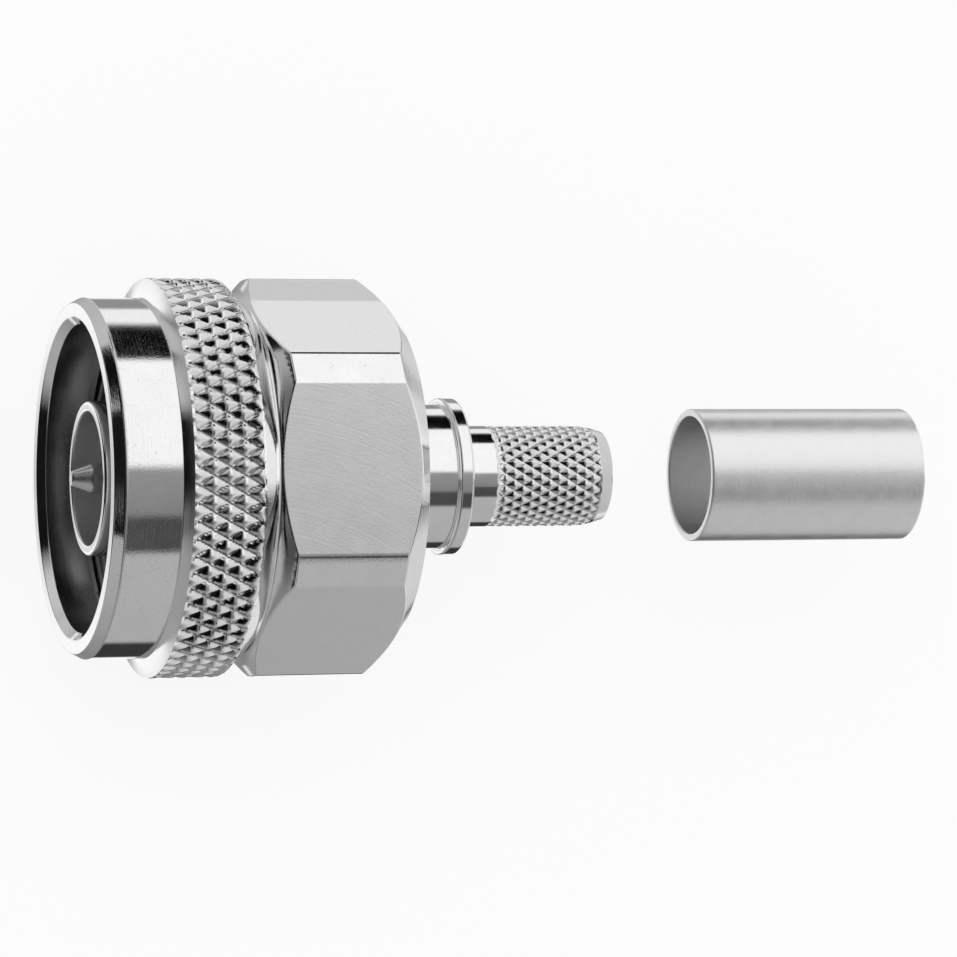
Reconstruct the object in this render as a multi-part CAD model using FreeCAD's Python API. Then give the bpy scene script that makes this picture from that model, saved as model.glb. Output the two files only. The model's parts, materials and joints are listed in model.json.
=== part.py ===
import FreeCAD, Part
import math
import os

# A cable plug of the 7 mm coaxial kind with a threaded coupling nut, crimp version, lengths in millimetres.
# X runs along the axis from the mating end towards the cable, Z is up, and a flat of the hexagon faces down.
# X = 0 is the front face of the outer contact, which is where a mating socket is measured from.

# Coupling nut, outside
nut_length = 16.8           # mouth to rear face
mouth_lead = 0.75           # the mouth stands this far in front of the contact's face
sleeve_d = 18.9             # smooth front sleeve
mouth_edge = 0.35           # chamfer at the mouth, outside
shoulder_start = 3.55       # from the mouth to where the sleeve ends
shoulder_run = 0.32         # length of the steep shoulder up to the grip band
band_d = 21.0               # diamond grip band, and the corners of the hexagon
band_end = 7.45             # from the mouth to the rear edge of the grip band
band_back_run = 1.10        # length of the chamfer behind the grip band
groove_d = 18.86            # floor of the V groove between grip band and hexagon
groove_floor = 0.15         # width of that floor
hex_flats = 19.0            # across flats, a 3/4 inch spanner
hex_front_angle = 54.0      # chamfer in front of the hexagon, from the axis
hex_back_angle = 50.0       # chamfer behind the hexagon, from the axis
hex_back_run = 1.45         # length of the rear chamfer

# Diamond grip band and crimp knurl
band_teeth = 69             # ridges round the grip band in each direction
band_lead = 1.62            # distance along the axis from one diamond to the next
band_first = 3.34           # from the mouth to where the pattern is counted from
band_depth = 0.40           # depth of its grooves
crimp_teeth = 32
crimp_lead = 1.00
crimp_depth = 0.16

# Coupling nut, inside
mouth_bore_d = 16.1
mouth_bore_edge = 0.40      # chamfer at the mouth, inside
mouth_bore_depth = 2.40
thread_minor_d = 14.86      # 5/8-24 internal thread, bored to its minor size
thread_start_run = 0.60     # cone between the mouth bore and the thread
thread_end = 9.60           # from the mouth to the end of the thread
chamber_d = 16.0            # room behind the thread for flange and gasket
chamber_end = 11.30
running_gap = 0.08          # radial, between the nut and the barrel it turns on

# Outer contact, the front half of the body
contact_d = 8.10
contact_bore_d = 7.00
contact_edge = 0.15         # chamfer round the front edge
flange_pass = 0.28          # radial, between the flange and the thread that it goes in through
flange_d = thread_minor_d - 2 * flange_pass
flange_length = 0.90
flange_play = 0.20          # between the flange and the shoulder inside the nut
seat_d = 9.70               # raised ring on the flange, which the gasket lies round
seat_height = 0.70
barrel_d = 12.44
barrel_end = 16.30          # from the mouth
collar_depth = 1.00         # length of the insulator's collar
socket_d = 9.20             # rear bore, which takes the crimp body
socket_start = 12.30        # from the mouth

# Split ring that keeps the nut on the barrel
ring_length = 0.90
ring_bite = 0.62            # radial, how deep the ring sits in the barrel
ring_wall = 1.25
ring_inner_d = barrel_d - 2 * ring_bite
ring_outer_d = ring_inner_d + 2 * ring_wall
ring_gap = 2.20             # width of the split
ring_middle = 14.20         # from the mouth
ring_side_play = 0.10       # each side, in the barrel's groove
ring_nut_play = 0.15        # each side, in the nut's groove
ring_floor_play = 0.15      # radial, to the floor of either groove

# Gasket
gasket_length = 1.00
gasket_margin = 0.10        # radial, inside the flange's edge
gasket_outer_d = flange_d - 2 * gasket_margin
gasket_fit = 0.05           # radial, round the raised ring

# Crimp body, the rear half of the body
tail_d = 7.74               # plain cylinder behind the nut
tail_end = 19.94            # from the mouth
lip_d = 8.40                # thin collar that stops the ferrule
lip_length = 0.80
lip_round = 0.30
neck_d = 5.30               # plain start of the neck
crimp_start = 22.50         # from the mouth
crimp_d = 5.44              # knurled crimp neck
crimp_end = 27.95
neck_end = 29.10
neck_tip_d = 4.84           # taper at the cable end
neck_bore_d = 3.95          # takes the cable's inner insulation
rear_seat = 18.60           # from the mouth to the step that holds the rear insulator
rear_pocket_d = 5.90

# Insulators and centre contact
slip = 0.02                 # radial, between parts that are assembled and then stay
insulator_face = 6.05       # from the mouth to the front insulator's face
pin_lead = 0.10             # the pin's tip stands this far in front of the mouth
pin_d = 1.60
pin_tip_d = 0.75
pin_tip_length = 1.05
pin_round = 0.10
pin_body_d = 2.13           # gives 50 ohm inside the front insulator
pin_collar_d = 3.00
pin_collar_length = 0.80
pin_barrel_d = 2.40
pin_end = 18.20             # from the mouth
pin_hole_d = 1.50           # takes the cable's inner wire
pin_hole_depth = 4.50

# Crimp ferrule, shown slid off behind the plug
ferrule_d = 7.20
ferrule_bore_d = 6.40
ferrule_length = 12.40
ferrule_edge = 0.10
ferrule_front = 34.40       # from the mouth


def along(from_mouth):
    """Place on the X axis of something measured from the mouth of the nut."""
    return from_mouth - mouth_lead


def turned(outline):
    """Solid of revolution about X. An outline point is (x, diameter), or ("arc", middle, end) for a round stretch."""
    first = FreeCAD.Vector(outline[0][0], 0, outline[0][1] / 2)
    here, edges = first, []
    for step in outline[1:] + [outline[0]]:
        if step[0] == "arc":
            middle, there = (FreeCAD.Vector(x, 0, d / 2) for x, d in step[1:])
            edges.append(Part.Arc(here, middle, there).toShape())
        else:
            there = FreeCAD.Vector(step[0], 0, step[1] / 2)
            edges.append(Part.makeLine(here, there))
        here = there
    face = Part.Face(Part.Wire(edges))
    return face.revolve(FreeCAD.Vector(0, 0, 0), FreeCAD.Vector(1, 0, 0), 360)


def rounded(x, d, radius, turn_x, turn_d):
    """Two steps of an outline that go round a square corner at (x, d), from the side turn_x to the side turn_d."""
    bulge = radius * (1 - math.sqrt(0.5))
    return [(x + turn_x * radius if turn_x else x, d if turn_x else d - 2 * radius),
            ("arc", (x + turn_d * bulge, d - 2 * bulge),
             (x if turn_x else x + turn_d * radius, d - 2 * radius if turn_x else d))]


def hexagon(flats, x0, x1):
    """Hexagonal prism along X with a flat facing down."""
    corner = flats / 2 / math.cos(math.pi / 6)
    ring = [FreeCAD.Vector(x0, corner * math.cos(k * math.pi / 3), corner * math.sin(k * math.pi / 3))
            for k in range(7)]
    return Part.Face(Part.makePolygon(ring)).extrude(FreeCAD.Vector(x1 - x0, 0, 0))


def pipe(x0, x1, outer, inner):
    return turned([(x0, inner), (x0, outer), (x1, outer), (x1, inner)])


def knurl_waste(x0, x1, d, teeth, lead, depth):
    """Ring of metal that a diamond knurl takes away: four flat flanks run down from each peak to the two sets of
    crossing grooves. Peaks and crossings alternate on a grid of half a tooth by half a lead."""
    rows = math.ceil((x1 - x0) / (lead / 2))
    grid = []
    for j in range(rows + 1):
        ring = []
        for i in range(2 * teeth):
            turn = math.pi * i / teeth
            r = d / 2 if (i + j) % 2 == 0 else d / 2 - depth
            ring.append(FreeCAD.Vector(x0 + j * lead / 2, r * math.sin(turn), r * math.cos(turn)))
        grid.append(ring + ring[:1])
    faces = [Part.Face(Part.makePolygon(grid[0])), Part.Face(Part.makePolygon(grid[-1]))]
    for j in range(rows):
        for i in range(2 * teeth):
            a, b, c, e = grid[j][i], grid[j][i + 1], grid[j + 1][i], grid[j + 1][i + 1]
            if (i + j) % 2 == 0:
                flanks = [(a, b, c), (b, e, c)]
            else:
                flanks = [(a, b, e), (a, e, c)]
            faces += [Part.Face(Part.makePolygon([*corners, corners[0]])) for corners in flanks]
    drum = Part.Solid(Part.Shell(faces))
    return pipe(x0, x0 + rows * lead / 2, 1.2 * d, d / 2).cut(drum)


def coupling_nut():
    mouth, rear = along(0), along(nut_length)
    groove_x = along(band_end + band_back_run)
    hex_front = groove_x + groove_floor + (band_d - groove_d) / 2 / math.tan(math.radians(hex_front_angle))
    hex_back = rear - hex_back_run
    rear_d = band_d - 2 * hex_back_run * math.tan(math.radians(hex_back_angle))
    bore_d = barrel_d + 2 * running_gap
    groove_x0 = along(ring_middle) - ring_length / 2 - ring_nut_play
    groove_x1 = along(ring_middle) + ring_length / 2 + ring_nut_play
    ring_room_d = ring_outer_d + 2 * ring_floor_play
    thread_x = along(mouth_bore_depth) + thread_start_run
    blank = turned([
        (mouth, mouth_bore_d + 2 * mouth_bore_edge),
        (mouth, sleeve_d - 2 * mouth_edge),
        (mouth + mouth_edge, sleeve_d),
        (along(shoulder_start), sleeve_d),
        (along(shoulder_start) + shoulder_run, band_d),
        (along(band_end), band_d),
        (groove_x, groove_d),
        (groove_x + groove_floor, groove_d),
        (hex_front, band_d),
        (hex_back, band_d),
        (rear, rear_d),
        (rear, bore_d),
        (groove_x1, bore_d),
        (groove_x1, ring_room_d),
        (groove_x0, ring_room_d),
        (groove_x0, bore_d),
        (along(chamber_end), bore_d),
        (along(chamber_end), chamber_d),
        (along(thread_end), chamber_d),
        (along(thread_end), thread_minor_d),
        (thread_x, thread_minor_d),
        (along(mouth_bore_depth), mouth_bore_d),
        (mouth + mouth_bore_edge, mouth_bore_d),
    ])
    hex_waste = pipe(groove_x + groove_floor / 2, rear + 1, 1.2 * band_d, 0.5 * band_d)
    hex_waste = hex_waste.cut(hexagon(hex_flats, groove_x, rear + 2))
    grip_waste = knurl_waste(along(band_first), groove_x, band_d, band_teeth, band_lead, band_depth)
    return blank.cut([hex_waste, grip_waste])


def outer_contact():
    flange_x = along(chamber_end) - flange_play
    flange_face = flange_x - flange_length
    groove_x0 = along(ring_middle) - ring_length / 2 - ring_side_play
    groove_x1 = along(ring_middle) + ring_length / 2 + ring_side_play
    groove_d_in = ring_inner_d - 2 * ring_floor_play
    return turned([
        (0, contact_bore_d),
        (0, contact_d - 2 * contact_edge),
        (contact_edge, contact_d),
        (flange_face - seat_height, contact_d),
        (flange_face - seat_height, seat_d),
        (flange_face, seat_d),
        (flange_face, flange_d),
        (flange_x, flange_d),
        (flange_x, barrel_d),
        (groove_x0, barrel_d),
        (groove_x0, groove_d_in),
        (groove_x1, groove_d_in),
        (groove_x1, barrel_d),
        (along(barrel_end), barrel_d),
        (along(barrel_end), socket_d),
        (along(socket_start), socket_d),
        (along(socket_start), contact_bore_d),
    ])


def retaining_ring():
    x0 = along(ring_middle) - ring_length / 2
    ring = pipe(x0, x0 + ring_length, ring_outer_d, ring_inner_d)
    split = Part.makeBox(ring_length + 2, ring_gap, ring_outer_d,
                         FreeCAD.Vector(x0 - 1, -ring_gap / 2, 0))
    return ring.cut(split)


def gasket():
    back = along(chamber_end) - flange_play - flange_length
    return pipe(back - gasket_length, back, gasket_outer_d, seat_d + 2 * gasket_fit)


def crimp_body():
    x0 = along(socket_start) + collar_depth
    tail_x, lip_x = along(barrel_end), along(tail_end)
    blank = turned([
        (x0, rear_pocket_d),
        (x0, socket_d - 2 * slip),
        (tail_x, socket_d - 2 * slip),
        (tail_x, tail_d),
        (lip_x, tail_d),
        *rounded(lip_x, lip_d, lip_round, 0, 1),
        (lip_x + lip_length, lip_d),
        (lip_x + lip_length, neck_d),
        (along(crimp_start), neck_d),
        (along(crimp_start), crimp_d),
        (along(crimp_end), crimp_d),
        (along(neck_end), neck_tip_d),
        (along(neck_end), neck_bore_d),
        (along(rear_seat), neck_bore_d),
        (along(rear_seat), rear_pocket_d),
    ])
    return blank.cut(knurl_waste(along(crimp_start), along(crimp_end) + crimp_lead / 2,
                                 crimp_d, crimp_teeth, crimp_lead, crimp_depth))


def front_insulator():
    collar_x = along(socket_start)
    back = collar_x + collar_depth
    hole_d = pin_body_d + 2 * slip
    pocket_d = pin_collar_d + 2 * slip
    return turned([
        (along(insulator_face), hole_d),
        (along(insulator_face), contact_bore_d - 2 * slip),
        (collar_x, contact_bore_d - 2 * slip),
        (collar_x, socket_d - 2 * slip),
        (back, socket_d - 2 * slip),
        (back, pocket_d),
        (back - pin_collar_length, pocket_d),
        (back - pin_collar_length, hole_d),
    ])


def rear_insulator():
    return pipe(along(socket_start) + collar_depth, along(rear_seat),
                rear_pocket_d - 2 * slip, pin_barrel_d + 2 * slip)


def center_pin():
    tip = along(-pin_lead)
    collar_back = along(socket_start) + collar_depth
    end = along(pin_end)
    return turned([
        (tip, 0),
        *rounded(tip, pin_tip_d, pin_round, 0, 1),
        (tip + pin_tip_length, pin_d),
        (along(insulator_face), pin_d),
        (along(insulator_face), pin_body_d),
        (collar_back - pin_collar_length, pin_body_d),
        (collar_back - pin_collar_length, pin_collar_d),
        (collar_back, pin_collar_d),
        (collar_back, pin_barrel_d),
        (end, pin_barrel_d),
        (end, pin_hole_d),
        (end - pin_hole_depth, pin_hole_d),
        (end - pin_hole_depth, 0),
    ])


def crimp_ferrule():
    x0 = along(ferrule_front)
    x1 = x0 + ferrule_length
    return turned([
        (x0, ferrule_bore_d + 2 * ferrule_edge),
        (x0, ferrule_d - 2 * ferrule_edge),
        (x0 + ferrule_edge, ferrule_d),
        (x1 - ferrule_edge, ferrule_d),
        (x1, ferrule_d - 2 * ferrule_edge),
        (x1, ferrule_bore_d + 2 * ferrule_edge),
        (x1 - ferrule_edge, ferrule_bore_d),
        (x0 + ferrule_edge, ferrule_bore_d),
    ])


pieces = {
    "coupling_nut": coupling_nut(),
    "retaining_ring": retaining_ring(),
    "gasket": gasket(),
    "outer_contact": outer_contact(),
    "crimp_body": crimp_body(),
    "front_insulator": front_insulator(),
    "rear_insulator": rear_insulator(),
    "center_pin": center_pin(),
    "crimp_ferrule": crimp_ferrule(),
}

os.makedirs("parts", exist_ok=True)
for name, shape in pieces.items():
    if not shape.isValid() or len(shape.Solids) != 1:
        raise ValueError(f"{name} is not one sound solid")
    shape.Solids[0].exportStep(f"parts/{name}.step")
    print(f"{name}: {shape.Volume:.1f} cubic mm")
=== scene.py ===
import json
import math

import bpy
import numpy as np
from mathutils import Matrix, Vector

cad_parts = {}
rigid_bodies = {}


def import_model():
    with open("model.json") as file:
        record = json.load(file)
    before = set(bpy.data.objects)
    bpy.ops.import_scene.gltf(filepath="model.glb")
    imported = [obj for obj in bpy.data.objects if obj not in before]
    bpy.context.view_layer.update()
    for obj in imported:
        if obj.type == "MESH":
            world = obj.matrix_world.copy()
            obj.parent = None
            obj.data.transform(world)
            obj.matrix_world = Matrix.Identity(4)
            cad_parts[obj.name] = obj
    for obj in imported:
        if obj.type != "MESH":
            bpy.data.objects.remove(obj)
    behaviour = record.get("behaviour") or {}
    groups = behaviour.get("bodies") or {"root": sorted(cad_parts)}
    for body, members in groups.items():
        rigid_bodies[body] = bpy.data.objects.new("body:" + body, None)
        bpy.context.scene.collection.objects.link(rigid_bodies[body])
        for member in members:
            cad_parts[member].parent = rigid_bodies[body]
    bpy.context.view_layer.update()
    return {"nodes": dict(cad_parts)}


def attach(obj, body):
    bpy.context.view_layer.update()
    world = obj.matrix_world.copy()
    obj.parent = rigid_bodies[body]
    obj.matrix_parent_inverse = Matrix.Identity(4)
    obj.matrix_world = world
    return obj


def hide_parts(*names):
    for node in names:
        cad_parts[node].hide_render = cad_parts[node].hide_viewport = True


for leftOver in list(bpy.data.objects):
    bpy.data.objects.remove(leftOver)
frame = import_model()
mm = 0.001
turn = 2 * math.pi


# Surfaces
# The pieces are in millimetres, x runs from the mouth to the cable end, and angles start straight up.

# The least of two surfaces with their meeting line rounded: least(a, b) - (soft - |a - b|)^2 / (4 soft) where
# they are nearer than soft.
def softLeast(a, b, soft):
    return np.minimum(a, b) - np.maximum(soft - np.abs(a - b), 0) ** 2 / (4 * soft)


# 1 between two places and 0 outside them, with a straight run up and down just inside each.
def between(x, start, end, run):
    return np.clip((x - start) / run, 0, 1) * np.clip((end - x) / run, 0, 1)


# All corners of a section whose stretches are named, in their order.
def cornersOf(section):
    return [corner for stretch in section.values() for corner in stretch]


# A section's corners (x, radius, rounding) made into rows: each corner is an arc tangent to both its sides,
# with one more row a little way along each side, so that the flats beside it shade flat. That row is beside
# times the rounding from the arc, or most times what is left of the side if that is less.
def roundedRows(corners, steps=3, closed=True, beside=0.7, most=0.45):
    points = np.array([corner[:2] for corner in corners], float)
    rows = []
    for i, here in enumerate(points):
        rounding = corners[i][2]
        if rounding <= 0 or (not closed and i in (0, len(corners) - 1)):
            rows.append([here])
            continue
        back, ahead = points[i - 1] - here, points[(i + 1) % len(points)] - here
        backLength, aheadLength = np.hypot(*back), np.hypot(*ahead)
        back, ahead = back / backLength, ahead / aheadLength
        bend = math.acos(np.clip(-back @ ahead, -1, 1))
        reach = rounding * math.tan(bend / 2)
        spare = min(beside * rounding, most * (min(backLength, aheadLength) - reach))
        middle = (back + ahead) / np.hypot(*(back + ahead)) * rounding / math.cos(bend / 2) + here
        first, last = here + back * reach - middle, here + ahead * reach - middle
        a = np.linspace(0, bend, steps + 1)[:, None]
        arc = middle + (first * np.sin(bend - a) + last * np.sin(a)) / math.sin(bend)
        rows += [[here + back * (reach + spare)], arc, [here + ahead * (reach + spare)]]
    return np.vstack(rows)


# Rows of (x, radius) carried round the axis: (x, radius sin angle, radius cos angle).
def roundTheAxis(x, r, angle):
    return np.stack([x, r * np.sin(angle), r * np.cos(angle)], -1)


# Two triangles for each square of the grid, cut along the diagonal whose ends differ least in radius.
def gridFaces(r, firstVertex, closed):
    rows, columns = r.shape
    i, j = np.meshgrid(np.arange(rows if closed else rows - 1), np.arange(columns), indexing="ij")
    down, right = (i + 1) % rows, (j + 1) % columns
    a, b, c, d = (firstVertex + u * columns + v for u, v in ((i, j), (down, j), (down, right), (i, right)))
    across = np.abs(r[i, j] - r[down, right]) <= np.abs(r[down, j] - r[i, right])
    one = np.where(across[..., None], np.stack([a, b, c], -1), np.stack([a, b, d], -1))
    two = np.where(across[..., None], np.stack([a, c, d], -1), np.stack([b, c, d], -1))
    return np.concatenate([one.reshape(-1, 3), two.reshape(-1, 3)])


# The strip between a row of many vertices and a row of half as many, three triangles for each pair.
def halvingStrip(many, few, manyFirst):
    j = np.arange(len(few))
    m0, m1, m2 = many[2 * j], many[2 * j + 1], many[(2 * j + 2) % len(many)]
    f0, f1 = few[j], few[(j + 1) % len(few)]
    if manyFirst:
        sets = ((m0, f0, m1), (m1, f0, f1), (m1, f1, m2))
    else:
        sets = ((f0, m0, m1), (f0, m1, f1), (f1, m1, m2))
    return np.concatenate([np.stack(s, -1) for s in sets])


# A mesh in metres from points and triangles, tied to its body and put in its node's place. Values are numbers
# for each vertex that the finish reads by name, and edges that bend by more than crease degrees stay sharp.
def putMesh(name, points, faces, finish, body, node, values, crease):
    mesh = bpy.data.meshes.new(name)
    mesh.vertices.add(len(points))
    mesh.vertices.foreach_set("co", (points * mm).astype(np.float32).ravel())
    mesh.loops.add(faces.size)
    mesh.loops.foreach_set("vertex_index", faces.astype(np.int32).ravel())
    mesh.polygons.add(len(faces))
    mesh.polygons.foreach_set("loop_start", np.arange(0, faces.size, 3, dtype=np.int32))
    mesh.update(calc_edges=True)
    mesh.polygons.foreach_set("use_smooth", np.ones(len(faces), bool))
    if crease:
        mesh.set_sharp_from_angle(angle=math.radians(crease))
    for key, value in values.items():
        attribute = mesh.attributes.new(key, "FLOAT", "POINT")
        attribute.data.foreach_set("value", value.astype(np.float32).ravel())
    mesh.materials.append(finish)
    piece = bpy.data.objects.new(name, mesh)
    bpy.context.scene.collection.objects.link(piece)
    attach(piece, body)
    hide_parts(node)
    print("made", name, len(faces), "triangles")


# A turned piece: its rows go round the axis. A closed section makes a ring. An open one starts and ends on the
# axis, where each end is one point.
def turnedPiece(
        name, rows, columns, finish, body, node, closed=True, shape=None, values=None, crease=None):
    x, r = np.repeat(rows[:, :1], columns, 1), np.repeat(rows[:, 1:], columns, 1)
    angle = np.repeat((np.arange(columns) * turn / columns)[None], len(rows), 0)
    if shape:
        r = shape(x, r, angle)
    if closed:
        points, faces = roundTheAxis(x, r, angle).reshape(-1, 3), gridFaces(r, 0, True)
    else:
        middle = roundTheAxis(x[1:-1], r[1:-1], angle[1:-1]).reshape(-1, 3)
        j = np.arange(columns)
        beside = (j + 1) % columns
        start, end = len(middle), len(middle) + 1
        bottom = (len(rows) - 3) * columns
        faces = np.concatenate([
            gridFaces(r[1:-1], 0, False),
            np.stack([np.full(columns, start), j, beside], -1),
            np.stack([bottom + j, np.full(columns, end), bottom + beside], -1),
        ])
        points = np.vstack([middle, [[rows[0, 0], 0, 0]], [[rows[-1, 0], 0, 0]]])
    values = {key: np.repeat(value, columns) for key, value in (values or {}).items()}
    putMesh(name, points, faces, finish, body, node, values, crease)


# How far a diamond knurl's surface lies under its crests: two families of grooves run at p + q and p - q,
# where p counts teeth round the axis and q counts leads along it. The drop is depth times the larger of
# (2 distance from the crest line) ^ bulge over both families, softened where they meet.
def knurlDrop(x, angle, k):
    p, q = angle * k["teeth"] / turn - k["ahead"], (x - k["start"]) / k["lead"]
    one, two = p + q, p - q
    a = (2 * np.abs(one - np.round(one))) ** k["bulge"]
    b = (2 * np.abs(two - np.round(two))) ** k["bulge"]
    return k["depth"] * between(x, *k["fade"], k["fadeRun"]) * -softLeast(-a, -b, k["soft"])


# Materials

class Value:                                # a shader socket that takes part in sums
    def __init__(self, paint, socket):
        self.paint, self.socket = paint, socket

    def __add__(self, other):
        return self.paint.maths("ADD", self, other)

    def __sub__(self, other):
        return self.paint.maths("SUBTRACT", self, other)

    def __rsub__(self, other):
        return self.paint.maths("SUBTRACT", other, self)

    def __mul__(self, other):
        return self.paint.maths("MULTIPLY", self, other)

    def __truediv__(self, other):
        return self.paint.maths("DIVIDE", self, other)

    def __pow__(self, other):
        return self.paint.maths("POWER", self, other)

    def __abs__(self):
        return self.paint.maths("ABSOLUTE", self)

    __radd__ = __add__
    __rmul__ = __mul__


class Paint:                                # one node tree and what is drawn in it
    def __init__(self, owner):
        owner.use_nodes = True
        self.tree = owner.node_tree
        self.tree.nodes.clear()

    def node(self, kind, settings=None, inputs=None, out=0):
        made = self.tree.nodes.new(kind)
        for key, value in (settings or {}).items():
            if key == "stops":
                ramp = made.color_ramp
                for n, (place, tone) in enumerate(value):
                    stop = ramp.elements[n] if n < 2 else ramp.elements.new(place)
                    stop.position, stop.color = place, (tone, tone, tone, 1)
            else:
                setattr(made, key, value)
        for key, value in (inputs or {}).items():
            if isinstance(value, Value):
                self.tree.links.new(value.socket, made.inputs[key])
            else:
                made.inputs[key].default_value = value
        return Value(self, made.outputs[out]) if made.outputs else made

    def maths(self, operation, *parts):
        return self.node("ShaderNodeMath", {"operation": operation}, dict(enumerate(parts)))

    def ramp(self, value, low, high, start=0.0, end=1.0):      # straight from start at low to end at high
        return self.node("ShaderNodeMapRange", {"clamp": True}, {
            "Value": value, "From Min": low, "From Max": high, "To Min": start, "To Max": end})

    def grey(self, value):
        return self.node("ShaderNodeCombineColor", {}, {0: value, 1: value, 2: value})

    def noise(self, where, scale, detail=2.0, kind="3D"):
        place = "W" if kind == "1D" else "Vector"
        return self.node("ShaderNodeTexNoise", {"noise_dimensions": kind}, {
            place: where, "Scale": scale, "Detail": detail})

    def attribute(self, name):              # a number that the mesh carries for each vertex
        return self.node("ShaderNodeAttribute", {"attribute_name": name}, out=2)

    def dot(self, way, direction):
        return self.node("ShaderNodeVectorMath", {"operation": "DOT_PRODUCT"}, {0: way, 1: direction}, out=1)

    def mix(self, share, first, second, blend="MIX"):           # colours: first at 0, second at 1
        return self.node("ShaderNodeMix", {"data_type": "RGBA", "blend_type": blend}, {
            0: share, 6: first, 7: second}, out=2)

    def millimetres(self):                  # a point on the piece, its x and its distance from the axis
        place = self.node("ShaderNodeTexCoord", out=3)
        place = self.node("ShaderNodeVectorMath", {"operation": "SCALE"}, {0: place, "Scale": 1000.0})
        x, y, z = (self.node("ShaderNodeSeparateXYZ", {}, {0: place}, out=i) for i in range(3))
        return place, x, (y * y + z * z) ** 0.5

    def finish(self, height, sockets):      # height is in millimetres
        bump = self.node("ShaderNodeBump", {}, {"Height": height, "Distance": mm, "Strength": 1.0})
        shader = self.node("ShaderNodeBsdfPrincipled", {}, {**sockets, "Normal": bump})
        self.node("ShaderNodeOutputMaterial", {}, {"Surface": shader})


plating = {
    "speck": (0.62, 0.78), "specksLostOnFlats": 0.8, "speckRough": 0.12,
    "toneCloud": (0.35, 0.70), "cloudDark": 0.95, "glossCloud": (0.30, 0.75),
    "wornRough": 0.3, "roughUnderShade": 0.3,
}


# Plated metal: fine rings left by turning, a pitted grain, cloudy gloss, the cutter's arcs on milled flats, and
# painted shade where the mesh carries it.
def platedMetal(name, look):
    material = bpy.data.materials.new(name)
    paint = Paint(material)
    cut = look.get("milled")
    place, x, radius = paint.millimetres()
    rings = paint.noise(x * look["ringsAlong"] + radius * look["ringsAcross"], 1.0, 3.0, "1D")
    grain = paint.noise(place, look["grainScale"], 3.0)
    cloud = paint.noise(place, look["cloudScale"], 2.0)
    speck = fleck = paint.ramp(grain, *plating["speck"])
    worn, grime = paint.attribute("worn"), paint.attribute("grime")
    if cut:
        flat = paint.attribute("milled")
        along = x - cut["centre"][0]
        aside = paint.attribute("across") - cut["centre"][1]
        arcs = paint.noise((along * along + aside * aside) ** 0.5, cut["scale"], 2.0, "1D")
        rings = rings * (1 - flat)
        fleck = speck * (1 - flat * plating["specksLostOnFlats"])
    height = rings * look["ringHeight"] + grain * look["grainHeight"]
    if cut:
        height = height + arcs * flat * cut["height"]
    tone = paint.ramp(cloud, *plating["toneCloud"], look["tone"] * plating["cloudDark"], look["tone"])
    # the number the mesh carries for painted shade darkens the tone and adds roughness: painted shade in the
    # knurl's hollows, inside the nut, on part of one flat, in the contact's bore and at the body's cable end
    tone = (tone - fleck * look["speck"]) * (1 - grime)
    rough, spread = look["rough"], look["roughSpread"]
    gloss = paint.ramp(cloud, *plating["glossCloud"], rough * (1 - spread), rough * (1 + spread))
    gloss = gloss + speck * plating["speckRough"] + worn * plating["wornRough"] + grime * plating["roughUnderShade"]
    if cut:
        gloss = gloss + flat * cut["rough"]
    paint.finish(height, {"Base Color": paint.grey(tone), "Metallic": 1.0, "Roughness": gloss})
    return material


# Moulded or pressed material with a faint mottle.
def dullMaterial(name, look):
    material = bpy.data.materials.new(name)
    paint = Paint(material)
    place, x, radius = paint.millimetres()
    mottle = paint.noise(place, look["mottleScale"], 3.0)
    rings = paint.noise(x * look["ringsAlong"] + radius * look["ringsAcross"], 1.0, 2.0, "1D")
    low, high = look["mottleRange"]
    tone = paint.ramp(mottle, low, high, look["tone"] * look["mottleDark"], look["tone"])
    spread = look["rough"] * look["roughSpread"]
    rough = paint.ramp(mottle, low, high, look["rough"] - spread, look["rough"] + spread)
    height = mottle * look["mottleHeight"] + rings * look["ringHeight"]
    paint.finish(height, {"Base Color": paint.grey(tone), "Roughness": rough})
    return material


nutLook = {
    "tone": 0.88, "rough": 0.08, "roughSpread": 0.27, "speck": 0.25,
    "ringsAlong": 9.0, "ringsAcross": 16.0, "ringHeight": 0.0012,
    "grainScale": 9.0, "grainHeight": 0.0022, "cloudScale": 0.8,
    "milled": {"centre": (6.0, -16.0), "scale": 7.0, "height": 0.0012, "rough": 0.16},
}
bodyLook = {
    "tone": 0.88, "rough": 0.10, "roughSpread": 0.27, "speck": 0.15,
    "ringsAlong": 12.0, "ringsAcross": 16.0, "ringHeight": 0.0007,
    "grainScale": 12.0, "grainHeight": 0.0006, "cloudScale": 1.0,
}
ferruleLook = {
    "tone": 0.99, "rough": 0.34, "roughSpread": 0.06, "speck": 0.05,
    "ringsAlong": 4.0, "ringsAcross": 10.0, "ringHeight": 0.0015,
    "grainScale": 6.0, "grainHeight": 0.007, "cloudScale": 1.2,
}
pinLook = {
    "tone": 0.74, "rough": 0.24, "roughSpread": 0.27, "speck": 0.05,
    "ringsAlong": 14.0, "ringsAcross": 20.0, "ringHeight": 0.0006,
    "grainScale": 14.0, "grainHeight": 0.0005, "cloudScale": 2.0,
}
springLook = {
    "tone": 0.55, "rough": 0.25, "roughSpread": 0.27, "speck": 0.05,
    "ringsAlong": 14.0, "ringsAcross": 20.0, "ringHeight": 0.0006,
    "grainScale": 10.0, "grainHeight": 0.001, "cloudScale": 1.0,
}
insulatorLook = {
    "tone": 0.80, "rough": 0.45, "roughSpread": 0.1,
    "mottleScale": 3.0, "mottleRange": (0.3, 0.7), "mottleDark": 0.93, "mottleHeight": 0.002,
    "ringsAlong": 6.0, "ringsAcross": 14.0, "ringHeight": 0.002,
}
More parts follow.
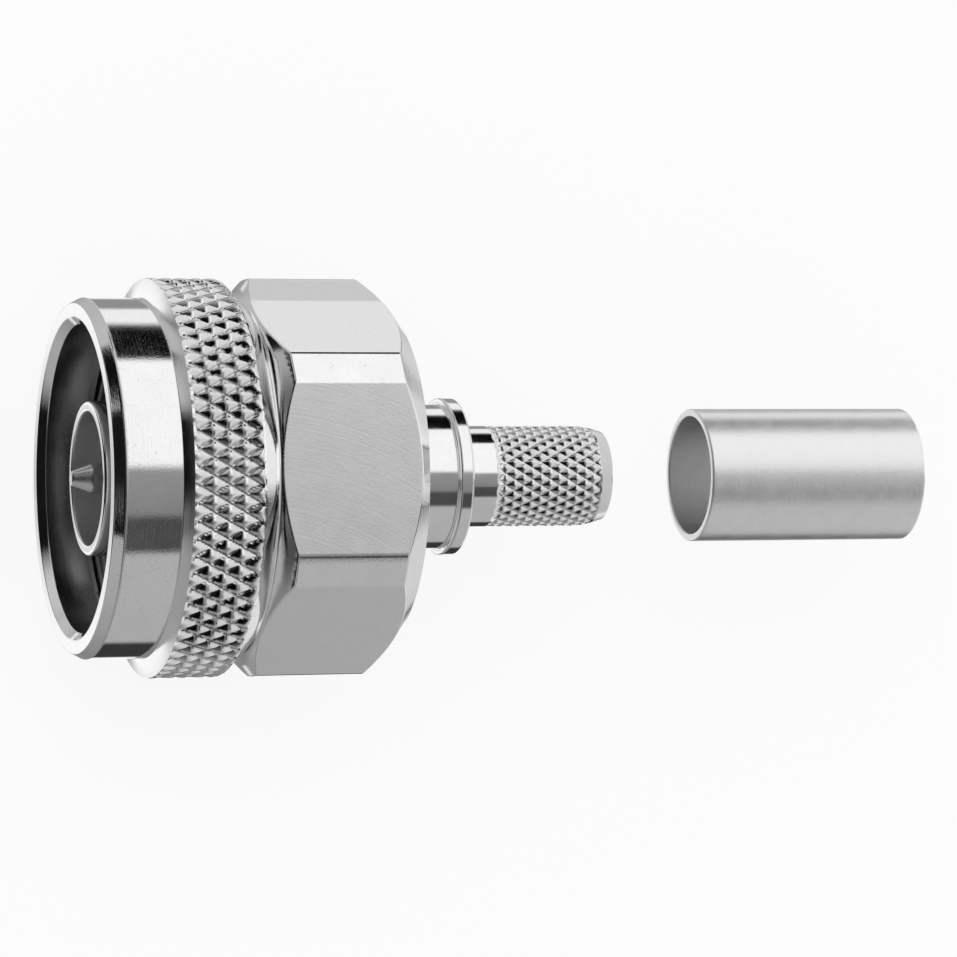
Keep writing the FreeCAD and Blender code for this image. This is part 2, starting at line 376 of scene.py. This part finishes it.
rubberLook = {
    "tone": 0.09, "rough": 0.6, "roughSpread": 0.1,
    "mottleScale": 6.0, "mottleRange": (0.3, 0.7), "mottleDark": 0.93, "mottleHeight": 0.004,
    "ringsAlong": 6.0, "ringsAcross": 14.0, "ringHeight": 0.0,
}
nickelNut = platedMetal("nickelNut", nutLook)
nickelBody = platedMetal("nickelBody", bodyLook)
satinFerrule = platedMetal("satinFerrule", ferruleLook)
silverPin = platedMetal("silverPin", pinLook)
bronzeSpring = platedMetal("bronzeSpring", springLook)
whiteInsulator = dullMaterial("whiteInsulator", insulatorLook)
greyRubber = dullMaterial("greyRubber", rubberLook)
print("finishes ready")


# Coupling nut

nut = {
    "mouth": -0.75, "rear": 16.05, "columns": 690, "crease": 60,
    # outside, from the mouth: chamfer (along, in), shoulder (from, to), grip band, groove (from, to), hexagon
    "sleeveRadius": 9.45, "frontFace": 1.0, "mouthEdge": (0.55, 0.30), "shoulder": (2.80, 3.12),
    "bandRadius": 10.5, "bandEnd": 6.70, "grooveRadius": 9.43, "groove": (7.80, 7.95),
    "flat": 9.5, "frontSlope": 54.0, "backSlope": 50.0, "backStart": 14.60, "rearFace": 0.6,
    "knurl": {
        "teeth": 69, "lead": 1.62, "start": 2.55, "ahead": 0.1, "depth": 0.28, "bulge": 1.4, "soft": 0.1,
        "fade": (3.11, 6.85), "fadeRun": 0.22, "rowsPerLead": 10, "rowsSkipped": 4,
    },
    "crest": 0.02, "crestSoft": 0.03, "cornerSoft": 0.05, "coneSoft": 0.04,
    # rows: their distance from a part's end, in the groove as (x, radius), over the hexagon's edges and flats
    "margin": 0.10, "grooveRows": ((7.78, 9.44), (7.86, 9.43)),
    "edge": 0.05, "edgeRows": (-1.2, -0.5, 0.0, 0.5, 1.2), "rowGap": 0.001,
    "flatRows": (0.03, 0.35, 0.65, 0.97),
    # columns: how strongly and closely they crowd at the edges of the flats, and from where on
    "crowding": 7, "crowdWidth": 0.012, "crowdSteps": 7201, "crowdFrom": 6.9,
    # what is milled: this far below the corner's round, off the plain flat at most, and behind the groove
    "milledSoft": 0.03, "milledUnder": 0.012, "milledFrom": 0.02,
    # inside, from the rear: bore with its chamfer, the split ring's groove, thread (from, to) and lead-in
    "bore": 6.30, "boreStart": 10.55, "boreEdge": (15.93, 6.42), "rearInside": 7.6,
    "ringGroove": (12.85, 14.05), "ringGrooveRadius": 7.0,
    "thread": (1.65, 8.85), "pitch": 1.058, "threadCrest": 7.43, "threadRoot": 7.94,
    "threadTurn": (0.125, 0.40, 0.60, 0.875), "threadRun": (0.60, 0.45), "threadRows": 8, "threadGap": 0.02,
    "reliefRadius": 8.0, "leadInRadius": 8.05, "leadInEdge": (0.40, 8.45, 8.70),
    # wear of the band: crests rubbed dull, and painted shade in the hollows
    "wearAndHollowShade": {
        "from": 3.05, "to": 6.85, "run": 0.1,
        "rubbedTo": 0.36, "rubbedRun": 0.30, "hollowShadeFrom": 0.75, "hollowShade": 0.25,
    },
    # the inside, darkened with painted shade because the photograph shows it dark
    "inside": {"from": -0.35, "to": 15.9, "run": 0.3, "insideShade": 0.80},
    # on one flat, beyond this place across it, painted shade darkens it and it is rougher
    "shadedFlatPart": {"beyond": 1.72, "run": 0.1, "flatShade": 0.17},
}


# The angle from the middle of the nearest flat of the hexagon.
def fromFlat(angle):
    return (angle + turn / 12) % (turn / 6) - turn / 12


# The columns' angles, crowded at both edges of each flat: even steps of the running total of a weight that
# peaks there.
def crowdedAngles(s, even):
    flatEdge = math.acos(s["flat"] / s["bandRadius"])
    fine = np.linspace(0, turn, s["crowdSteps"])
    peak = np.exp(-((np.abs(fromFlat(fine)) - flatEdge) / s["crowdWidth"]) ** 2)
    weight = 1 + s["crowding"] * peak
    total = np.concatenate([[0], np.cumsum((weight[1:] + weight[:-1]) / 2)])
    return np.interp(even / turn * total[-1], total, fine)


# The nut from its mouth to the groove: radius = least of the turned outline and the knurl. Its columns are
# even on the band and move to the hexagon's crowded ones on the way to the groove's end.
def nutFront(s, even, crowded):
    knurl, columns, grooveEnd = s["knurl"], s["columns"], s["groove"][1]
    outline = roundedRows([
        (s["mouth"], s["sleeveRadius"] - s["frontFace"], 0),
        (s["mouth"], s["sleeveRadius"] - s["mouthEdge"][1], 0.06),
        (s["mouth"] + s["mouthEdge"][0], s["sleeveRadius"], 0.15),
        (s["shoulder"][0], s["sleeveRadius"], 0.03), (s["shoulder"][1], s["bandRadius"], 0),
        (s["bandEnd"], s["bandRadius"], 0.05),
        (s["groove"][0], s["grooveRadius"], 0.05), (grooveEnd, s["grooveRadius"], 0)], closed=False)[1:]
    cuttingFrom = s["shoulder"][0] + s["margin"]
    rim = outline[:np.searchsorted(outline[:, 0], cuttingFrom)]
    # as many rows a lead as columns a tooth, so that the grooves run along the diagonals of the grid
    step = knurl["lead"] / knurl["rowsPerLead"]
    knurledX = np.arange(knurl["start"] + knurl["rowsSkipped"] * step, s["groove"][0] - s["margin"], step)
    knurledX = np.concatenate([[knurl["fade"][0]], knurledX])
    knurled = np.stack([knurledX, np.interp(knurledX, outline[:, 0], outline[:, 1])], 1)
    turned = np.vstack([rim, knurled, s["grooveRows"]])
    x, r = (np.repeat(turned[:, i:i + 1], columns, 1) for i in (0, 1))
    blend = np.clip((x - s["crowdFrom"]) / (grooveEnd - s["crowdFrom"]), 0, 1)
    angle = even * (1 - blend) + crowded * blend
    drop = knurlDrop(x, angle, knurl)
    surface = s["bandRadius"] + s["crest"] - drop
    return x, np.where(x > cuttingFrom, softLeast(r, surface, s["crestSoft"]), r), angle, drop


# The nut's hexagon: radius = least of flat / cos(angle from the middle of the nearest flat) and a cone at
# each end. Its rows follow the line where the front cone meets the flats, then the line of the rear cone.
def nutHexagon(s, crowded):
    columns, grooveEnd, edge = s["columns"], s["groove"][1], s["edge"]
    front, back = (math.tan(math.radians(s[key])) for key in ("frontSlope", "backSlope"))
    flatRadius = s["flat"] / np.cos(fromFlat(crowded))
    flatRadius = softLeast(np.full(columns, s["bandRadius"]), flatRadius, s["cornerSoft"])
    frontX = grooveEnd + (flatRadius - s["grooveRadius"]) / front
    backX = s["backStart"] + (s["bandRadius"] - flatRadius) / back

    reach = s["edgeRows"][-1] * edge
    rows = [grooveEnd + (frontX - grooveEnd) * t for t in (0.0, 0.5)]
    rows += [
        np.maximum(frontX + t * edge, grooveEnd + s["rowGap"] * (n + 1)) for n, t in enumerate(s["edgeRows"])]
    rows += [frontX + reach + (backX - frontX - 2 * reach) * t for t in s["flatRows"]]
    rows += [backX + t * edge for t in s["edgeRows"]]
    rows += [backX + reach + (s["rear"] - s["margin"] - backX - reach) * t for t in (0.5, 1.0)]
    x = np.maximum.accumulate(np.stack(rows), 0)
    flats = np.repeat(flatRadius[None], len(x), 0)
    r = softLeast(flats, s["grooveRadius"] + (x - grooveEnd) * front, s["coneSoft"])
    r = softLeast(r, s["bandRadius"] - (x - s["backStart"]) * back, s["coneSoft"])
    r[0] = s["grooveRadius"]

    milled = np.clip((s["bandRadius"] - s["milledSoft"] - flatRadius) / s["milledSoft"], 0, 1)
    onFlat = milled * ((r > flats - s["milledUnder"]) & (x > grooveEnd + s["milledFrom"]))
    rearRadius = s["bandRadius"] - (s["rear"] - s["backStart"]) * back
    rearRows = roundedRows([
        (s["rear"] - s["margin"], rearRadius + s["margin"] * back, 0), (s["rear"], rearRadius, 0.05),
        (s["rear"], rearRadius - s["rearFace"], 0)], closed=False)[1:]
    rearX, rearR = (np.repeat(rearRows[:, i:i + 1], columns, 1) for i in (0, 1))
    return np.vstack([x, rearX]), np.vstack([r, rearR]), np.vstack([onFlat, np.zeros_like(rearX)])


# The whole outside of the nut, with where it is milled, worn and darkened by painted shade, from 0 to 1 for
# each vertex, and how far across its flat each vertex lies.
def nutOutside(s):
    even = np.arange(s["columns"]) * turn / s["columns"]
    crowded = crowdedAngles(s, even)
    frontX, frontR, frontAngle, drop = nutFront(s, even, crowded)
    hexX, hexR, onFlat = nutHexagon(s, crowded)
    x, r = np.vstack([frontX, hexX]), np.vstack([frontR, hexR])
    angle = np.vstack([frontAngle, np.repeat(crowded[None], len(hexX), 0)])
    milled = np.vstack([np.zeros_like(frontX), onFlat])

    wearAndHollowShade, second = s["wearAndHollowShade"], s["shadedFlatPart"]
    hollow = drop / s["knurl"]["depth"]
    inBand = between(frontX, wearAndHollowShade["from"], wearAndHollowShade["to"], wearAndHollowShade["run"])
    worn = inBand * np.clip((wearAndHollowShade["rubbedTo"] - hollow) / wearAndHollowShade["rubbedRun"], 0, 1)
    # painted shade in the knurl's hollows, darker the deeper they lie
    hollowShade = inBand * np.clip((hollow - wearAndHollowShade["hollowShadeFrom"]) / (1 - wearAndHollowShade["hollowShadeFrom"]), 0, 1) * wearAndHollowShade["hollowShade"]
    worn, hollowShade = (np.vstack([value, np.zeros_like(hexX)]) for value in (worn, hollowShade))
    across = np.repeat((s["flat"] * np.tan(fromFlat(crowded)))[None], len(x), 0)
    # painted shade on part of one flat
    shadedFlatPart = np.clip((across - second["beyond"]) / second["run"], 0, 1)
    shadedFlatPart = shadedFlatPart * (np.abs(angle - turn / 6) < turn / 12) * milled
    grime = np.maximum(hollowShade, shadedFlatPart * second["flatShade"])
    return x, r, angle, {"milled": milled, "across": across, "worn": worn, "grime": grime}


# The nut inside: radius = most of the turned outline and the thread. The thread's radius depends on
# u = part over whole turns of (x / pitch + angle / turn): a flat crest, a straight flank, a flat root and a
# flank back.
def nutInside(s):
    columns = s["columns"] // 2
    start, end = s["thread"]
    bore, groove, grooveRadius = s["bore"], s["ringGroove"], s["ringGrooveRadius"]
    crest, root, relief, leadIn = s["threadCrest"], s["threadRoot"], s["reliefRadius"], s["leadInRadius"]
    rearPart = roundedRows([
        (s["rear"], s["rearInside"], 0), (s["rear"], s["boreEdge"][1], 0.04), (s["boreEdge"][0], bore, 0.05),
        (groove[1], bore, 0.03), (groove[1], grooveRadius, 0.03),
        (groove[0], grooveRadius, 0.03), (groove[0], bore, 0.03),
        (s["boreStart"], bore, 0.06), (s["boreStart"], relief, 0.05),
        (end + s["threadGap"], relief, 0)], 2, closed=False)
    threadX = np.arange(end, start + s["threadGap"], -s["pitch"] / s["threadRows"])
    runIn, runOut = s["threadRun"]
    threadR = np.interp(threadX, [start, start + runIn, end - runOut, end], [leadIn, crest, crest, relief])
    frontPart = roundedRows([
        (start, leadIn, 0), (s["mouth"] + s["leadInEdge"][0], leadIn, 0.06),
        (s["mouth"], s["leadInEdge"][1], 0.05), (s["mouth"], s["leadInEdge"][2], 0)], 3, closed=False)
    outline = np.vstack([rearPart, np.stack([threadX, threadR], 1), frontPart])
    x, r = (np.repeat(outline[:, i:i + 1], columns, 1) for i in (0, 1))
    angle = np.repeat((np.arange(columns) * turn / columns)[None], len(x), 0)
    u = (x / s["pitch"] + angle / turn) % 1.0
    cutThread = np.interp(u, [0.0, *s["threadTurn"], 1.0], [crest, crest, root, root, crest, crest])
    inThread = (x <= end) & (x > start)
    return x, np.where(inThread, np.maximum(r, cutThread), r), angle


outX, outR, outAngle, outValues = nutOutside(nut)
inX, inR, inAngle = nutInside(nut)
outPoints, inPoints = roundTheAxis(outX, outR, outAngle), roundTheAxis(inX, inR, inAngle)
outCount = outX.size
columns, half = nut["columns"], nut["columns"] // 2
lastOut = (len(outX) - 1) * columns + np.arange(columns)
firstIn, lastIn = outCount + np.arange(half), outCount + (len(inX) - 1) * half + np.arange(half)
nutFaces = np.concatenate([
    gridFaces(outR, 0, False), gridFaces(inR, outCount, False),
    halvingStrip(lastOut, firstIn, True), halvingStrip(np.arange(columns), lastIn, False)])
inside = nut["inside"]
inValues = {key: np.zeros(inX.shape) for key in outValues}
# painted shade darkens the inside of the nut
inValues["grime"] = between(inX, inside["from"], inside["to"], inside["run"]) * inside["insideShade"]
putMesh(
    "couplingNut", np.vstack([outPoints.reshape(-1, 3), inPoints.reshape(-1, 3)]), nutFaces, nickelNut,
    "nut", "coupling_nut",
    {key: np.concatenate([value.ravel(), inValues[key].ravel()]) for key, value in outValues.items()},
    nut["crease"])


# Plug body. A section's stretches each go from one corner to the next, and a corner is (x, radius, rounding).

contact = {
    "columns": 288, "boreBelow": 3.55, "boreEnd": 11.6, "boreWorn": 0.9, "boreShade": 0.12,
    "section": {
        "sleeve": ((0, 4.05, 0.12), (8.75, 4.05, 0.05)),
        "collar": ((8.75, 4.85, 0.06), (9.45, 4.85, 0.04)),
        "flange": ((9.45, 7.15, 0.06), (10.35, 7.15, 0.06)),
        "barrel": ((10.35, 6.22, 0.05), (12.90, 6.22, 0.03)),
        "ringGroove": ((12.90, 5.45, 0.03), (14.00, 5.45, 0.03)),
        "rearBarrel": ((14.00, 6.22, 0.03), (15.55, 6.22, 0.10)),
        "socket": ((15.55, 4.60, 0.03), (11.55, 4.60, 0.03)),
        "bore": ((11.55, 3.50, 0.03), (0, 3.50, 0.10)),
    },
}
contactRows = roundedRows(cornersOf(contact["section"]))
# the contact's bore is rougher and darkened with painted shade
inBore = (contactRows[:, 1] < contact["boreBelow"]) & (contactRows[:, 0] < contact["boreEnd"])
turnedPiece(
    "outerContact", contactRows, contact["columns"], nickelBody, "plug_body", "outer_contact",
    values={"worn": inBore * contact["boreWorn"], "grime": inBore * contact["boreShade"]})

neck = {
    "teeth": 27, "lead": 1.00, "start": 21.75, "end": 28.20, "ahead": 0.0, "depth": 0.16, "bulge": 1.3,
    "soft": 0.3, "fade": (21.75, 27.70), "fadeRun": 0.35, "rowsPerLead": 20,
    "radius": 2.72, "rootEnd": 21.70, "taper": ((27.0, 27.4, 28.35), (2.72, 2.68, 2.42)), "outsideOver": 2.4,
}
crimp = {
    # painted shade darkens the body at its cable end, beyond the place given here
    "columns": 320, "crease": 70, "shadeFrom": 27.6, "grime": 0.14,
    "outside": {
        "spigot": ((12.55, 4.58, 0), (15.55, 4.58, 0)),
        "tail": ((15.551, 3.87, 0), (19.19, 3.87, 0.04)),
        "lip": ((19.19, 4.20, 0.12), (19.99, 4.20, 0.10)),
        "neckRoot": ((19.99, neck["radius"], 0.05), (neck["rootEnd"], neck["radius"], 0)),
    },
    "inside": {
        "neckEnd": ((neck["end"], 2.46, 0), (28.35, 2.42, 0.05)),
        "cableBore": ((28.35, 1.975, 0.06), (17.85, 1.975, 0.03)),
        "chamber": ((17.85, 2.95, 0.03), (12.55, 2.95, 0)),
    },
}
neckX = np.arange(neck["start"], neck["end"], neck["lead"] / neck["rowsPerLead"])
bodyRows = np.vstack([
    roundedRows(cornersOf(crimp["outside"]), closed=False),
    np.stack([neckX, np.interp(neckX, *neck["taper"])], 1),
    roundedRows(cornersOf(crimp["inside"]), closed=False)])


# The neck: radius = outline less the knurl's drop, between its ends and on the outside alone.
def neckShape(x, r, angle):
    worked = (x > neck["start"]) & (x < neck["end"]) & (r > neck["outsideOver"])
    return np.where(worked, r - knurlDrop(x, angle, neck), r)


turnedPiece(
    "crimpBody", bodyRows, crimp["columns"], nickelBody, "plug_body", "crimp_body",
    shape=neckShape, values={"grime": (bodyRows[:, 0] > crimp["shadeFrom"]) * crimp["grime"]},
    crease=crimp["crease"])

insulator = {
    "columns": 192, "crease": 50,
    "section": {
        "front": ((5.30, 3.48, 0.10), (11.55, 3.48, 0)),
        "collar": ((11.551, 4.58, 0.03), (12.55, 4.58, 0.03)),
        "pinSeat": ((12.55, 1.52, 0.02), (11.75, 1.52, 0.02)),
        "pinHole": ((11.75, 1.085, 0.02), (5.30, 1.085, 0.08)),
    },
}
turnedPiece(
    "frontInsulator", roundedRows(cornersOf(insulator["section"])), insulator["columns"], whiteInsulator,
    "plug_body", "front_insulator", crease=insulator["crease"])

gasket = {
    "columns": 224,
    "section": {
        "outside": ((8.45, 7.05, 0.12), (9.45, 7.05, 0.08)),
        "inside": ((9.45, 4.90, 0.06), (8.45, 4.90, 0.12)),
    },
}
turnedPiece(
    "gasketRing", roundedRows(cornersOf(gasket["section"])), gasket["columns"], greyRubber,
    "plug_body", "gasket")

pin = {
    "columns": 128,
    "section": {
        "tip": ((-0.85, 0, 0), (-0.85, 0.375, 0.10)),
        "front": ((0.20, 0.80, 0.25), (5.30, 0.80, 0.03)),
        "shank": ((5.30, 1.065, 0.03), (11.75, 1.065, 0.03)),
        "collar": ((11.75, 1.50, 0.03), (12.55, 1.50, 0.03)),
        "wireEnd": ((12.55, 1.20, 0.03), (17.45, 1.20, 0.06)),
        "wireHole": ((17.45, 0.75, 0.05), (12.95, 0.75, 0.03)),
        "holeEnd": ((12.70, 0, 0),),
    },
}
turnedPiece(
    "centerPin", roundedRows(cornersOf(pin["section"]), closed=False), pin["columns"], silverPin,
    "plug_body", "center_pin", closed=False)


# Crimp ferrule

ferrule = {
    "columns": 320, "arcSteps": 4,
    "section": {
        "outside": ((33.65, 3.60, 0.08), (46.05, 3.60, 0.08)),
        "bore": ((46.05, 3.20, 0.08), (33.65, 3.20, 0.08)),
    },
}
turnedPiece(
    "crimpFerrule", roundedRows(cornersOf(ferrule["section"]), ferrule["arcSteps"]), ferrule["columns"],
    satinFerrule, "ferrule", "crimp_ferrule")

# the split ring and the rear insulator lie inside and keep their own meshes
for node, finish in (("retaining_ring", bronzeSpring), ("rear_insulator", whiteInsulator)):
    slots = frame["nodes"][node].data.materials
    for i in range(max(1, len(slots))):
        if i < len(slots):
            slots[i] = finish
        else:
            slots.append(finish)
print("all pieces stand in place")


# Floor and light

studio = {
    "floor": -0.0105, "floorSize": 3.0, "floorTone": 0.9, "floorGlow": 0.85,
    "plainLevel": 0.85, "gain": 1.15, "tilt": 2.66,
    # what polished metal meets round the long axis, as (degrees, tone), from under the object over its near
    # side to the top and back under it, and where along the axis it fades in and out
    "middle": (
        (-180, .95), (-163, .95), (-160, .20), (-131, .20), (-127, .66), (-50, .68), (-46, .27), (-26, .27),
        (-22, .50), (5, .56), (9, .97), (79, .97), (83, .06), (86, .02), (107, .02), (112, .25),
        (118, .93), (135, .93), (139, .55), (161, .55), (165, .90), (180, .95)),
    "middleEdge": (0.19, 0.22, 0.42, 0.46),
    # the tent round it, from the left to the right, in the picture's upper and lower half, and where they meet
    "over": ((-1.0, .80), (-0.5, .74), (0.0, .68), (0.2, .84), (0.5, .86), (1.0, .84)),
    "under": (
        (-1.0, .64), (-0.5, .64), (0.0, .50), (0.2, .54), (0.3, .62), (0.5, .72), (0.7, .80), (1.0, .82)),
    "overEdge": (0.46, 0.60, 0.92, 0.98),
    # the dark slit for the camera: its turn, its share of the light by place, and from how high it shows
    "slitTurn": 18.8,
    "slit": (
        (-0.24, 1.0), (-0.19, .50), (-0.16, .05), (-0.13, .0), (0.09, .0), (0.13, .03),
        (0.17, .15), (0.22, .34), (0.28, .58), (0.36, .8), (0.5, 1.0)),
    "slitReach": (0.25, 0.75),
    # small cards: from and to round the axis in degrees, from and to along it, tone
    "cards": (
        (86, 106, -0.34, 0.04, .05), (147, 162, 0.46, 0.82, .02), (-170, -150, 0.46, 0.58, .20),
        (-148, -118, 0.48, 0.80, .93), (160, 181, -0.50, -0.05, .97), (-181, -160, -0.50, -0.05, .97),
        (-44, 52, -0.72, -0.50, .03), (46, 102, -0.64, -0.40, .03)),
    "cardEdgeRound": 0.008, "cardEdgeAlong": 0.04,
    # the end wall on the right, by place from the near side to the far one
    "farRight": ((-1.0, .60), (-0.23, .60), (-0.19, .02), (-0.06, .02), (-0.02, .98), (1.0, .98)),
    "farRightEdge": (0.84, 0.90),
    # the black flag on the left, before the mouth: its edge, how that slopes, its softness and its width
    "flagEdge": -0.74, "flagSlope": (0.3, -0.65), "flagSoft": 0.05, "flagWidth": (0.62, 0.48),
    "flagLight": 0.006,
    "lampSize": 0.5, "lampPower": 0.6, "lampPlace": (-0.15, 0.25, 0.6), "lampAim": (0.02, 0, 0),
}


def linear(tone):                           # a screen tone as light
    return ((tone + 0.055) / 1.055) ** 2.4 if tone > 0.04 else tone / 12.92


floorMesh = bpy.data.meshes.new("floor")
size = studio["floorSize"]
floorCorners = [(x * size, y * size, studio["floor"]) for x, y in ((-1, -1), (1, -1), (1, 1), (-1, 1))]
floorMesh.from_pydata(floorCorners, [], [(0, 1, 2, 3)])
floor = bpy.data.objects.new("floor", floorMesh)
bpy.context.scene.collection.objects.link(floor)
floor.visible_glossy = False                # polished metal meets the panels of the world instead
floorFinish = bpy.data.materials.new("paleFloor")
paint = Paint(floorFinish)
seen = paint.node("ShaderNodeLightPath", out=0)
floorTone = (studio["floorTone"],) * 3 + (1,)
matt = paint.node("ShaderNodeBsdfDiffuse", {}, {"Color": floorTone})
glow = paint.node("ShaderNodeEmission", {}, {"Color": (1, 1, 1, 1), "Strength": 1.0})
both = paint.node("ShaderNodeMixShader", {}, {0: seen * studio["floorGlow"], 1: matt, 2: glow})
paint.node("ShaderNodeOutputMaterial", {}, {"Surface": both})
floorMesh.materials.append(floorFinish)

world = bpy.data.worlds.new("softStudio")
bpy.context.scene.world = world
paint = Paint(world)
way = paint.node("ShaderNodeTexCoord", out=0)
tilt = math.radians(studio["tilt"])
aside = paint.dot(way, (0, math.cos(tilt), math.sin(tilt)))
above = paint.dot(way, (0, -math.sin(tilt), math.cos(tilt)))
ahead = paint.node("ShaderNodeSeparateXYZ", {}, {0: way}, out=0)
roundAxis = paint.maths("ARCTAN2", aside, above) / turn + 0.5      # 0 to 1 once round the long axis


def panel(where, stops, low, high):         # light by place on a panel, from tones as a screen shows them
    stops = [((place - low) / (high - low), linear(tone) * studio["gain"]) for place, tone in stops]
    return paint.node("ShaderNodeValToRGB", {"stops": stops}, {0: where})


overEdge, middleEdge = studio["overEdge"], studio["middleEdge"]
upper = paint.ramp(roundAxis, *overEdge[:2]) * paint.ramp(roundAxis, overEdge[3], overEdge[2])
under, over = (panel(ahead * 0.5 + 0.5, studio[key], -1, 1) for key in ("under", "over"))
tent = paint.mix(upper, under, over)
slitTurn = math.radians(studio["slitTurn"])
across = ahead * math.cos(slitTurn) + above * math.sin(slitTurn)
slitStops = [((place + 1) / 2, share) for place, share in studio["slit"]]
slit = paint.node("ShaderNodeValToRGB", {"stops": slitStops}, {0: across * 0.5 + 0.5})
dimmed = paint.mix(paint.ramp(above, *studio["slitReach"]), tent, slit, "MULTIPLY")
inMiddle = paint.ramp(ahead, *middleEdge[:2]) * paint.ramp(ahead, middleEdge[3], middleEdge[2])
metalLight = paint.mix(inMiddle, dimmed, panel(roundAxis, studio["middle"], -180, 180))
for start, end, near, far, tone in studio["cards"]:
    start, end = start / 360 + 0.5, end / 360 + 0.5
    edgeRound, edgeAlong = studio["cardEdgeRound"], studio["cardEdgeAlong"]
    share = paint.ramp(roundAxis, start, start + edgeRound) * paint.ramp(roundAxis, end, end - edgeRound)
    share = share * paint.ramp(ahead, near, near + edgeAlong) * paint.ramp(ahead, far, far - edgeAlong)
    glow = linear(tone) * studio["gain"]
    metalLight = paint.mix(share, metalLight, (glow, glow, glow, 1))
farRight = panel(aside * 0.5 + 0.5, studio["farRight"], -1, 1)
metalLight = paint.mix(paint.ramp(ahead, *studio["farRightEdge"]), metalLight, farRight)
flagSlope, flagSoft = studio["flagSlope"], studio["flagSoft"]
flagEdge = paint.maths("MAXIMUM", studio["flagEdge"], aside * flagSlope[0] + flagSlope[1])
flag = paint.ramp(ahead - flagEdge, flagSoft, -flagSoft) * paint.ramp(abs(aside), *studio["flagWidth"])
darkened = paint.mix(flag, metalLight, (studio["flagLight"],) * 3 + (1,))
glossy = paint.node("ShaderNodeLightPath", out=3)
seen = paint.node("ShaderNodeLightPath", out=0)
plain = paint.mix(seen, (studio["plainLevel"],) * 3 + (1,), (1, 1, 1, 1))
light = paint.mix(glossy, plain, darkened)
sky = paint.node("ShaderNodeBackground", {}, {"Color": light, "Strength": 1.0})
paint.node("ShaderNodeOutputWorld", {}, {"Surface": sky})

softBox = bpy.data.lights.new("softBox", "AREA")
softBox.size, softBox.energy = studio["lampSize"], studio["lampPower"]
lamp = bpy.data.objects.new("softBox", softBox)
lamp.location = studio["lampPlace"]
lamp.rotation_euler = (Vector(studio["lampAim"]) - lamp.location).to_track_quat("-Z", "Y").to_euler()
lamp.visible_glossy = False
bpy.context.scene.collection.objects.link(lamp)


# Camera

view = {
    "target": (23.25, 0, 0), "distance": 250.0, "yaw": 18.62, "lean": 2.66, "roll": 0.33,
    # where the photograph shows the target, in pixels from its top left corner
    "shown": (508.5, 476.1), "frame": 957, "pixelsPerMm": 18.595, "sensor": 36.0,
}
yaw, lean, roll = (math.radians(view[k]) for k in ("yaw", "lean", "roll"))
back = Vector((-math.sin(yaw), -math.cos(yaw) * math.sin(lean), math.cos(yaw) * math.cos(lean)))
upright = Vector((0, math.cos(lean), math.sin(lean)))
right = upright.cross(back)
right, upright = (
    right * math.cos(roll) - upright * math.sin(roll), upright * math.cos(roll) + right * math.sin(roll))
target = Vector(view["target"])
eye = target + back * view["distance"]
centre = view["frame"] / 2
toRight = (view["shown"][0] - centre) / view["pixelsPerMm"]
toTop = (centre - view["shown"][1]) / view["pixelsPerMm"]
aim = target - right * toRight - upright * toTop
back = (eye - aim).normalized()
right = upright.cross(back).normalized()
upright = back.cross(right)
camera = bpy.data.cameras.new("camera")
camera.sensor_fit, camera.sensor_width = "HORIZONTAL", view["sensor"]
camera.lens = view["pixelsPerMm"] * view["distance"] * view["sensor"] / view["frame"]
camera.clip_start, camera.clip_end = 0.01, 10.0
cameraObject = bpy.data.objects.new("camera", camera)
cameraObject.matrix_world = Matrix((right, upright, back)).transposed().to_4x4()
cameraObject.location = eye * mm
bpy.context.scene.collection.objects.link(cameraObject)
bpy.context.scene.camera = cameraObject
bpy.context.scene.view_settings.view_transform = "Standard"
print("studio ready")
